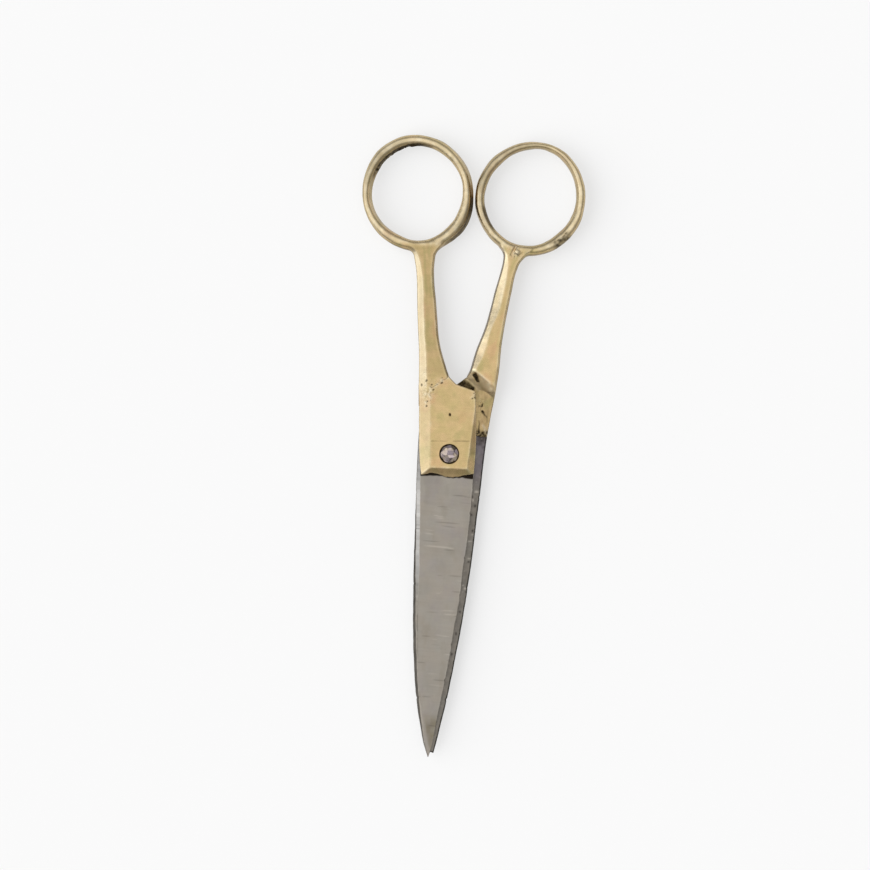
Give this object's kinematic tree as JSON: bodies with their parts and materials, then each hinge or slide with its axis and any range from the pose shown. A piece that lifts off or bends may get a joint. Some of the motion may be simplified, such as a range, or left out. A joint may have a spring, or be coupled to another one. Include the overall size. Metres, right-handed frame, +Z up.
{
  "type": "scissors",
  "caption": "Hand-made plain-edged sewing scissors: tapering steel blades with tangs cast into brass handles with round finger rings, lapped and joined by a rivet, opening about the pivot.",
  "frame": {"origin": "on the pivot axis, in the plane of the back bolster's flat outside face, which the closed scissors rest on", "axes": "+Y from the pivot towards the finger rings, -Y towards the points, +Z up along the pivot axis towards the front half, +X to the right seen from the front"},
  "size_m": [0.0687, 0.1903, 0.0082],
  "materials": {
    "blade_steel": "cross-ground, satin, with fine scratches",
    "cast_brass": "cast and filed, semi-bright, with pits and brown tarnish in the hollows",
    "rivet_steel": "hammered"
  },
  "bodies": {
    "back_half": {"back_blade": "blade_steel", "back_handle": "cast_brass", "pivot_rivet": "rivet_steel"},
    "front_half": {"front_blade": "blade_steel", "front_handle": "cast_brass"}
  },
  "joints": [
    {"name": "pivot", "type": "hinge", "parent": "back_half", "child": "front_half", "pos_m": [0, 0, 0.004], "axis": [0, 0, 1], "range_deg": [0, 120]}
  ]
}
